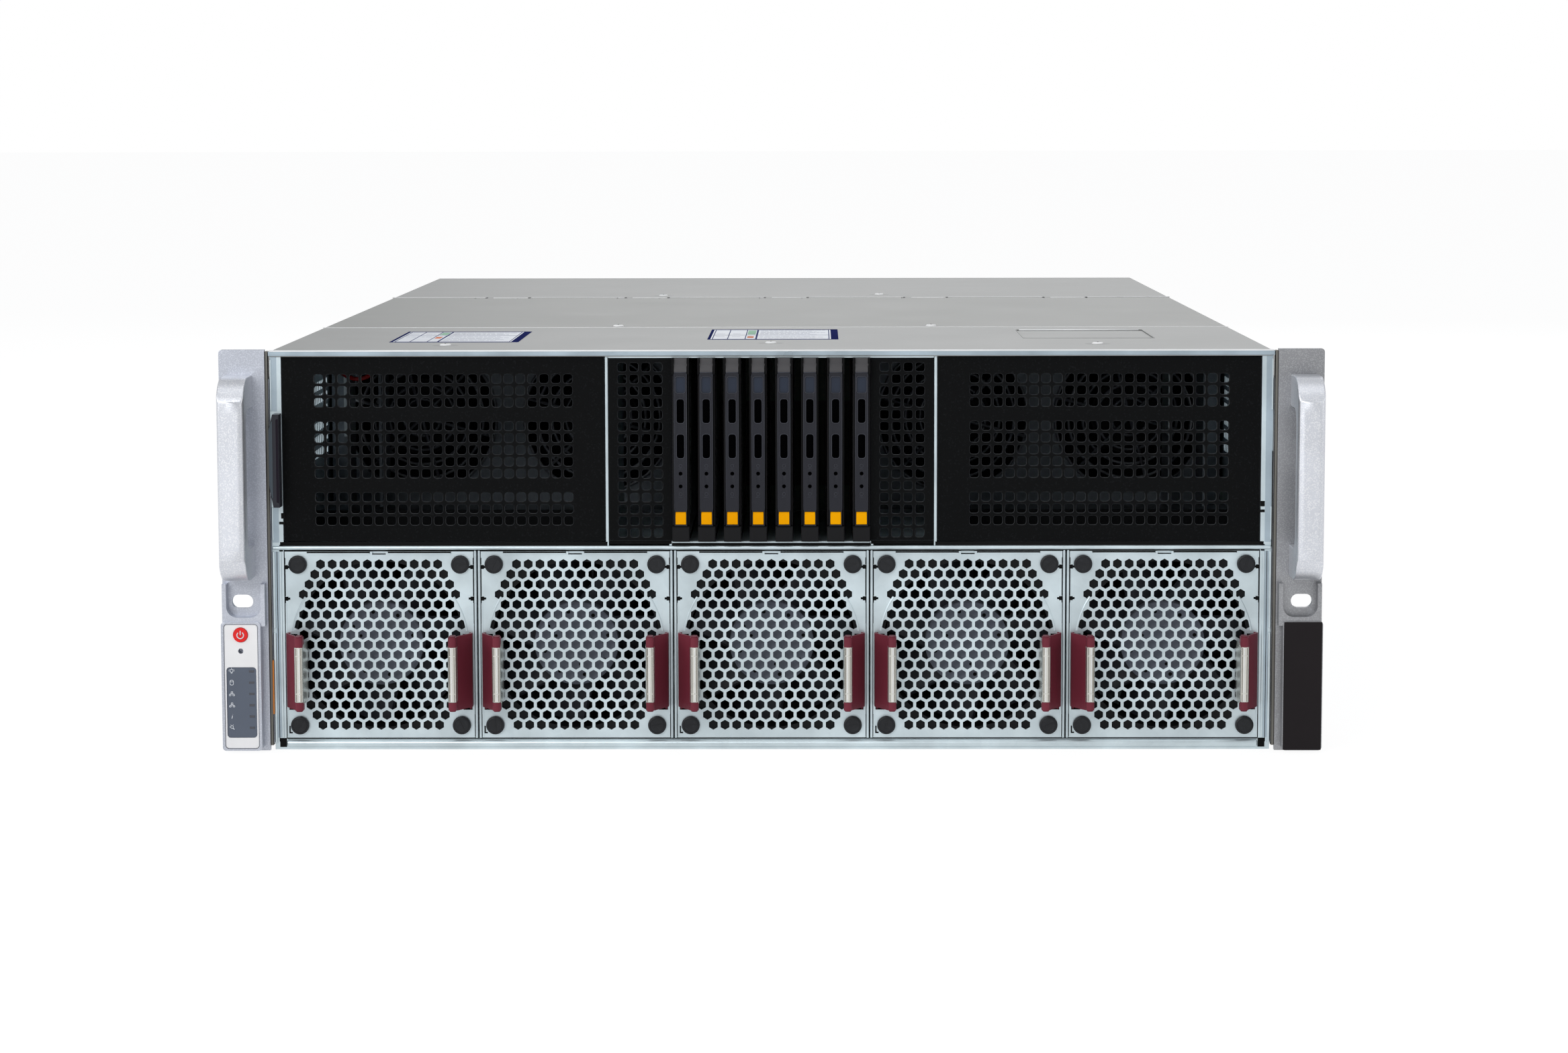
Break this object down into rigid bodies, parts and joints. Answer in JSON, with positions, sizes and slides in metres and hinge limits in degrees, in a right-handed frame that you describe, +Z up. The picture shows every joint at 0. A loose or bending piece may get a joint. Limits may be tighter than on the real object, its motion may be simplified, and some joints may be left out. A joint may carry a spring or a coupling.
{
  "type": "4u gpu server",
  "caption": "Rack server chassis for graphics cards with rack ears, handles, latched pull-out fan modules, mesh panels, lever drive carriers and removable covers.",
  "frame": {"origin": "on the floor plane, midway between the side walls, level with the rack posts' front face", "axes": "+X to the right as the front is faced, +Y from the rack plane to the rear, +Z up"},
  "size_m": [0.4826, 0.785, 0.177],
  "materials": {
    "galvanised": "satin zinc-plated sheet",
    "cover_metal": "smooth satin grey",
    "silver_paint": "fine metallic silver powder coat",
    "black_paint": "matt black powder coat",
    "red_plastic": "glossy",
    "black_plastic": "fine matt",
    "lever_plastic": "satin dark grey",
    "orange_plastic": "satin orange",
    "maroon_plastic": "satin wine red",
    "rotor_plastic": "matt dark grey",
    "fan_plastic": "matt black",
    "board": "solder-masked board with metal heat sinks",
    "card_shell": "anodised grey",
    "psu_shell": "plain zinc-plated sheet"
  },
  "bodies": {
    "chassis": {"chassis_tub": "galvanised", "front_cover": "cover_metal", "rack_ear_left": "silver_paint", "rack_ear_right": "silver_paint", "handle_left": "silver_paint", "handle_right": "silver_paint", "grille_panels": "black_paint", "drive_cage": "galvanised", "mainboard": "board", "gpu_cards": "card_shell", "power_supplies": "psu_shell", "inner_fans": "fan_plastic"},
    "middle_cover": {"middle_cover": "cover_metal"},
    "rear_cover": {"rear_cover": "cover_metal"},
    "power_button": {"power_button": "red_plastic"},
    "id_card": {"id_card": "black_plastic"},
    "fan_module_1": {"fan_module_1": "galvanised"},
    "fan_rotor_1": {"fan_rotor_1": "rotor_plastic"},
    "fan_latch_left_1": {"fan_latch_left_1": "maroon_plastic"},
    "fan_latch_right_1": {"fan_latch_right_1": "maroon_plastic"},
    "fan_module_2": {"fan_module_2": "galvanised"},
    "fan_rotor_2": {"fan_rotor_2": "rotor_plastic"},
    "fan_latch_left_2": {"fan_latch_left_2": "maroon_plastic"},
    "fan_latch_right_2": {"fan_latch_right_2": "maroon_plastic"},
    "fan_module_3": {"fan_module_3": "galvanised"},
    "fan_rotor_3": {"fan_rotor_3": "rotor_plastic"},
    "fan_latch_left_3": {"fan_latch_left_3": "maroon_plastic"},
    "fan_latch_right_3": {"fan_latch_right_3": "maroon_plastic"},
    "fan_module_4": {"fan_module_4": "galvanised"},
    "fan_rotor_4": {"fan_rotor_4": "rotor_plastic"},
    "fan_latch_left_4": {"fan_latch_left_4": "maroon_plastic"},
    "fan_latch_right_4": {"fan_latch_right_4": "maroon_plastic"},
    "fan_module_5": {"fan_module_5": "galvanised"},
    "fan_rotor_5": {"fan_rotor_5": "rotor_plastic"},
    "fan_latch_left_5": {"fan_latch_left_5": "maroon_plastic"},
    "fan_latch_right_5": {"fan_latch_right_5": "maroon_plastic"},
    "drive_carrier_1": {"drive_carrier_1": "black_plastic"},
    "drive_lever_1": {"drive_lever_1": "lever_plastic"},
    "drive_button_1": {"drive_button_1": "orange_plastic"},
    "drive_carrier_2": {"drive_carrier_2": "black_plastic"},
    "drive_lever_2": {"drive_lever_2": "lever_plastic"},
    "drive_button_2": {"drive_button_2": "orange_plastic"},
    "drive_carrier_3": {"drive_carrier_3": "black_plastic"},
    "drive_lever_3": {"drive_lever_3": "lever_plastic"},
    "drive_button_3": {"drive_button_3": "orange_plastic"},
    "drive_carrier_4": {"drive_carrier_4": "black_plastic"},
    "drive_lever_4": {"drive_lever_4": "lever_plastic"},
    "drive_button_4": {"drive_button_4": "orange_plastic"},
    "drive_carrier_5": {"drive_carrier_5": "black_plastic"},
    "drive_lever_5": {"drive_lever_5": "lever_plastic"},
    "drive_button_5": {"drive_button_5": "orange_plastic"},
    "drive_carrier_6": {"drive_carrier_6": "black_plastic"},
    "drive_lever_6": {"drive_lever_6": "lever_plastic"},
    "drive_button_6": {"drive_button_6": "orange_plastic"},
    "drive_carrier_7": {"drive_carrier_7": "black_plastic"},
    "drive_lever_7": {"drive_lever_7": "lever_plastic"},
    "drive_button_7": {"drive_button_7": "orange_plastic"},
    "drive_carrier_8": {"drive_carrier_8": "black_plastic"},
    "drive_lever_8": {"drive_lever_8": "lever_plastic"},
    "drive_button_8": {"drive_button_8": "orange_plastic"}
  },
  "joints": [
    {"name": "fan_module_1_slide", "type": "slide", "parent": "chassis", "child": "fan_module_1", "axis": [0, -1, 0], "range_m": [0, 0.07]},
    {"name": "fan_rotor_1_spin", "type": "hinge", "parent": "fan_module_1", "child": "fan_rotor_1", "pos_m": [-0.1726, 0.02, 0.0466], "axis": [0, 1, 0], "continuous": true},
    {"name": "fan_latch_left_1_pinch", "type": "hinge", "parent": "fan_module_1", "child": "fan_latch_left_1", "pos_m": [-0.2124, 0.0055, 0.035], "axis": [0, 0, 1], "range_deg": [0, 12], "stiffness_Nm_per_rad": 0.4},
    {"name": "fan_latch_right_1_pinch", "type": "hinge", "parent": "fan_module_1", "child": "fan_latch_right_1", "pos_m": [-0.1328, 0.0055, 0.035], "axis": [0, 0, -1], "range_deg": [0, 12], "stiffness_Nm_per_rad": 0.4},
    {"name": "fan_module_2_slide", "type": "slide", "parent": "chassis", "child": "fan_module_2", "axis": [0, -1, 0], "range_m": [0, 0.07]},
    {"name": "fan_rotor_2_spin", "type": "hinge", "parent": "fan_module_2", "child": "fan_rotor_2", "pos_m": [-0.0863, 0.02, 0.0466], "axis": [0, 1, 0], "continuous": true},
    {"name": "fan_latch_left_2_pinch", "type": "hinge", "parent": "fan_module_2", "child": "fan_latch_left_2", "pos_m": [-0.1261, 0.0055, 0.035], "axis": [0, 0, 1], "range_deg": [0, 12], "stiffness_Nm_per_rad": 0.4},
    {"name": "fan_latch_right_2_pinch", "type": "hinge", "parent": "fan_module_2", "child": "fan_latch_right_2", "pos_m": [-0.0465, 0.0055, 0.035], "axis": [0, 0, -1], "range_deg": [0, 12], "stiffness_Nm_per_rad": 0.4},
    {"name": "fan_module_3_slide", "type": "slide", "parent": "chassis", "child": "fan_module_3", "axis": [0, -1, 0], "range_m": [0, 0.07]},
    {"name": "fan_rotor_3_spin", "type": "hinge", "parent": "fan_module_3", "child": "fan_rotor_3", "pos_m": [0, 0.02, 0.0466], "axis": [0, 1, 0], "continuous": true},
    {"name": "fan_latch_left_3_pinch", "type": "hinge", "parent": "fan_module_3", "child": "fan_latch_left_3", "pos_m": [-0.0398, 0.0055, 0.035], "axis": [0, 0, 1], "range_deg": [0, 12], "stiffness_Nm_per_rad": 0.4},
    {"name": "fan_latch_right_3_pinch", "type": "hinge", "parent": "fan_module_3", "child": "fan_latch_right_3", "pos_m": [0.0398, 0.0055, 0.035], "axis": [0, 0, -1], "range_deg": [0, 12], "stiffness_Nm_per_rad": 0.4},
    {"name": "fan_module_4_slide", "type": "slide", "parent": "chassis", "child": "fan_module_4", "axis": [0, -1, 0], "range_m": [0, 0.07]},
    {"name": "fan_rotor_4_spin", "type": "hinge", "parent": "fan_module_4", "child": "fan_rotor_4", "pos_m": [0.0863, 0.02, 0.0466], "axis": [0, 1, 0], "continuous": true},
    {"name": "fan_latch_left_4_pinch", "type": "hinge", "parent": "fan_module_4", "child": "fan_latch_left_4", "pos_m": [0.0465, 0.0055, 0.035], "axis": [0, 0, 1], "range_deg": [0, 12], "stiffness_Nm_per_rad": 0.4},
    {"name": "fan_latch_right_4_pinch", "type": "hinge", "parent": "fan_module_4", "child": "fan_latch_right_4", "pos_m": [0.1261, 0.0055, 0.035], "axis": [0, 0, -1], "range_deg": [0, 12], "stiffness_Nm_per_rad": 0.4},
    {"name": "fan_module_5_slide", "type": "slide", "parent": "chassis", "child": "fan_module_5", "axis": [0, -1, 0], "range_m": [0, 0.07]},
    {"name": "fan_rotor_5_spin", "type": "hinge", "parent": "fan_module_5", "child": "fan_rotor_5", "pos_m": [0.1726, 0.02, 0.0466], "axis": [0, 1, 0], "continuous": true},
    {"name": "fan_latch_left_5_pinch", "type": "hinge", "parent": "fan_module_5", "child": "fan_latch_left_5", "pos_m": [0.1328, 0.0055, 0.035], "axis": [0, 0, 1], "range_deg": [0, 12], "stiffness_Nm_per_rad": 0.4},
    {"name": "fan_latch_right_5_pinch", "type": "hinge", "parent": "fan_module_5", "child": "fan_latch_right_5", "pos_m": [0.2124, 0.0055, 0.035], "axis": [0, 0, -1], "range_deg": [0, 12], "stiffness_Nm_per_rad": 0.4},
    {"name": "drive_carrier_1_slide", "type": "slide", "parent": "chassis", "child": "drive_carrier_1", "axis": [0, -1, 0], "range_m": [0, 0.13]},
    {"name": "drive_lever_1_swing", "type": "hinge", "parent": "drive_carrier_1", "child": "drive_lever_1", "pos_m": [-0.03955, -0.00295, 0.17], "axis": [-1, 0, 0], "range_deg": [0, 60]},
    {"name": "drive_button_1_press", "type": "slide", "parent": "drive_lever_1", "child": "drive_button_1", "axis": [0, 1, 0], "range_m": [0, 0.001], "stiffness_N_per_m": 800},
    {"name": "drive_carrier_2_slide", "type": "slide", "parent": "chassis", "child": "drive_carrier_2", "axis": [0, -1, 0], "range_m": [0, 0.13]},
    {"name": "drive_lever_2_swing", "type": "hinge", "parent": "drive_carrier_2", "child": "drive_lever_2", "pos_m": [-0.02825, -0.00295, 0.17], "axis": [-1, 0, 0], "range_deg": [0, 60]},
    {"name": "drive_button_2_press", "type": "slide", "parent": "drive_lever_2", "child": "drive_button_2", "axis": [0, 1, 0], "range_m": [0, 0.001], "stiffness_N_per_m": 800},
    {"name": "drive_carrier_3_slide", "type": "slide", "parent": "chassis", "child": "drive_carrier_3", "axis": [0, -1, 0], "range_m": [0, 0.13]},
    {"name": "drive_lever_3_swing", "type": "hinge", "parent": "drive_carrier_3", "child": "drive_lever_3", "pos_m": [-0.01695, -0.00295, 0.17], "axis": [-1, 0, 0], "range_deg": [0, 60]},
    {"name": "drive_button_3_press", "type": "slide", "parent": "drive_lever_3", "child": "drive_button_3", "axis": [0, 1, 0], "range_m": [0, 0.001], "stiffness_N_per_m": 800},
    {"name": "drive_carrier_4_slide", "type": "slide", "parent": "chassis", "child": "drive_carrier_4", "axis": [0, -1, 0], "range_m": [0, 0.13]},
    {"name": "drive_lever_4_swing", "type": "hinge", "parent": "drive_carrier_4", "child": "drive_lever_4", "pos_m": [-0.00565, -0.00295, 0.17], "axis": [-1, 0, 0], "range_deg": [0, 60]},
    {"name": "drive_button_4_press", "type": "slide", "parent": "drive_lever_4", "child": "drive_button_4", "axis": [0, 1, 0], "range_m": [0, 0.001], "stiffness_N_per_m": 800},
    {"name": "drive_carrier_5_slide", "type": "slide", "parent": "chassis", "child": "drive_carrier_5", "axis": [0, -1, 0], "range_m": [0, 0.13]},
    {"name": "drive_lever_5_swing", "type": "hinge", "parent": "drive_carrier_5", "child": "drive_lever_5", "pos_m": [0.00565, -0.00295, 0.17], "axis": [-1, 0, 0], "range_deg": [0, 60]},
    {"name": "drive_button_5_press", "type": "slide", "parent": "drive_lever_5", "child": "drive_button_5", "axis": [0, 1, 0], "range_m": [0, 0.001], "stiffness_N_per_m": 800},
    {"name": "drive_carrier_6_slide", "type": "slide", "parent": "chassis", "child": "drive_carrier_6", "axis": [0, -1, 0], "range_m": [0, 0.13]},
    {"name": "drive_lever_6_swing", "type": "hinge", "parent": "drive_carrier_6", "child": "drive_lever_6", "pos_m": [0.01695, -0.00295, 0.17], "axis": [-1, 0, 0], "range_deg": [0, 60]},
    {"name": "drive_button_6_press", "type": "slide", "parent": "drive_lever_6", "child": "drive_button_6", "axis": [0, 1, 0], "range_m": [0, 0.001], "stiffness_N_per_m": 800},
    {"name": "drive_carrier_7_slide", "type": "slide", "parent": "chassis", "child": "drive_carrier_7", "axis": [0, -1, 0], "range_m": [0, 0.13]},
    {"name": "drive_lever_7_swing", "type": "hinge", "parent": "drive_carrier_7", "child": "drive_lever_7", "pos_m": [0.02825, -0.00295, 0.17], "axis": [-1, 0, 0], "range_deg": [0, 60]},
    {"name": "drive_button_7_press", "type": "slide", "parent": "drive_lever_7", "child": "drive_button_7", "axis": [0, 1, 0], "range_m": [0, 0.001], "stiffness_N_per_m": 800},
    {"name": "drive_carrier_8_slide", "type": "slide", "parent": "chassis", "child": "drive_carrier_8", "axis": [0, -1, 0], "range_m": [0, 0.13]},
    {"name": "drive_lever_8_swing", "type": "hinge", "parent": "drive_carrier_8", "child": "drive_lever_8", "pos_m": [0.03955, -0.00295, 0.17], "axis": [-1, 0, 0], "range_deg": [0, 60]},
    {"name": "drive_button_8_press", "type": "slide", "parent": "drive_lever_8", "child": "drive_button_8", "axis": [0, 1, 0], "range_m": [0, 0.001], "stiffness_N_per_m": 800},
    {"name": "power_button_press", "type": "slide", "parent": "chassis", "child": "power_button", "axis": [0, 1, 0], "range_m": [0, 0.001], "stiffness_N_per_m": 1200},
    {"name": "id_card_slide", "type": "slide", "parent": "chassis", "child": "id_card", "axis": [0, -1, 0], "range_m": [0, 0.05]},
    {"name": "middle_cover_lift", "type": "slide", "parent": "chassis", "child": "middle_cover", "axis": [0, 0, 1], "range_m": [0, 0.15]},
    {"name": "rear_cover_slide", "type": "slide", "parent": "chassis", "child": "rear_cover", "axis": [0, 1, 0], "range_m": [0, 0.025]}
  ]
}
